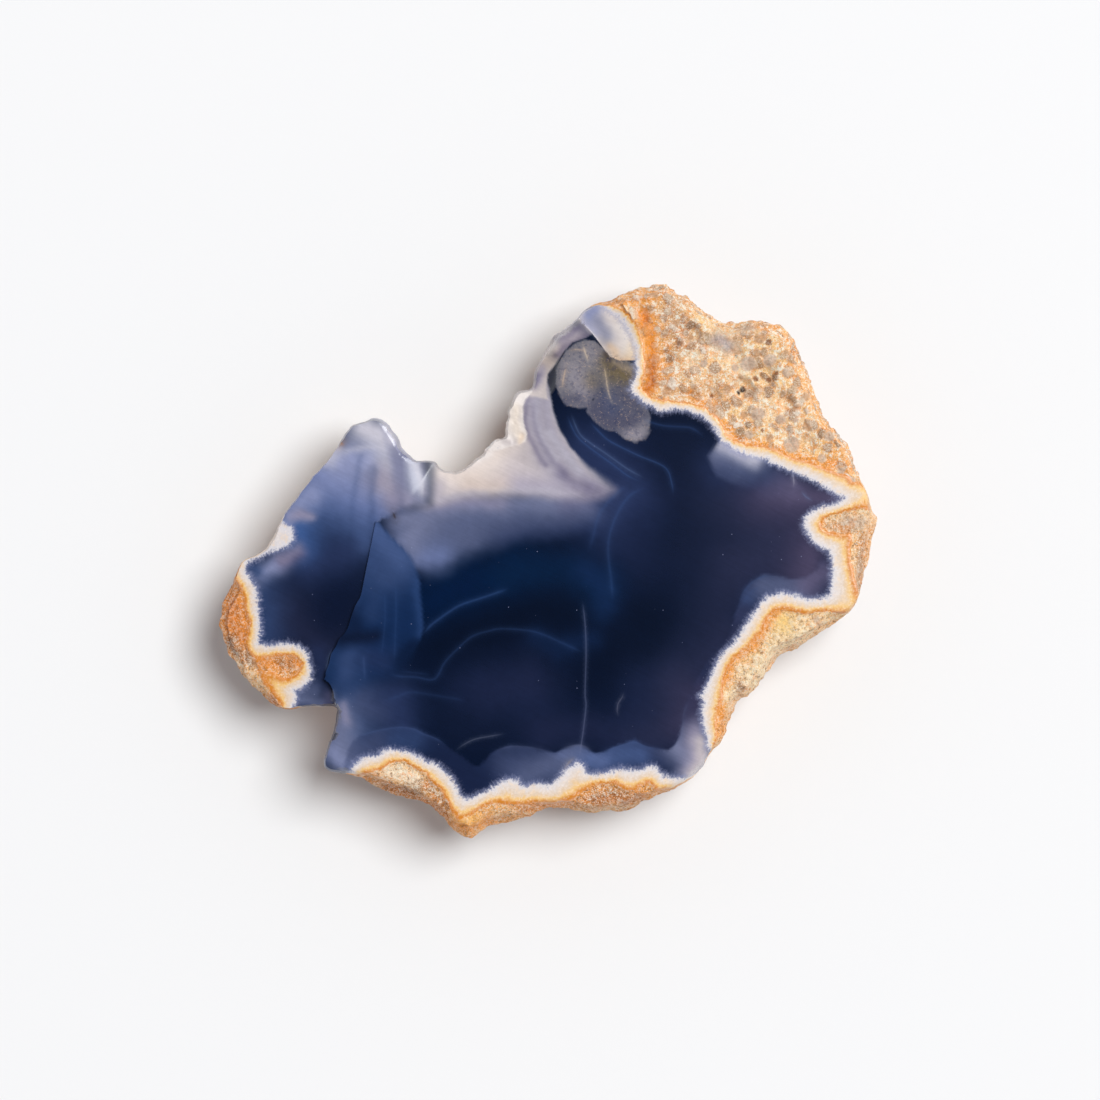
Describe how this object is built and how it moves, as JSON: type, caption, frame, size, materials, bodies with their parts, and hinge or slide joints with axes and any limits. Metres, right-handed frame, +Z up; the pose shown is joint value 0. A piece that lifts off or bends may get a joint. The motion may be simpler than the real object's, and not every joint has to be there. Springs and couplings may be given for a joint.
{
  "type": "blue lace agate",
  "caption": "Irregular palm-sized slab of banded blue chalcedony with a polished face, a chipped edge and fused host rock.",
  "frame": {"origin": "centre of the stone's box, at the level of its resting spot", "axes": "+X along the longest way across, towards the large lobe; +Y towards the neck bay and the host rock; +Z up, out of the polished face"},
  "size_m": [0.09, 0.0758, 0.0158],
  "materials": {
    "blue_chalcedony": "deep blue chalcedony, polished on the sawn face, with a white and orange rim and rough brown host rock"
  },
  "bodies": {
    "root": {"blue_agate": "blue_chalcedony"}
  },
  "joints": []
}
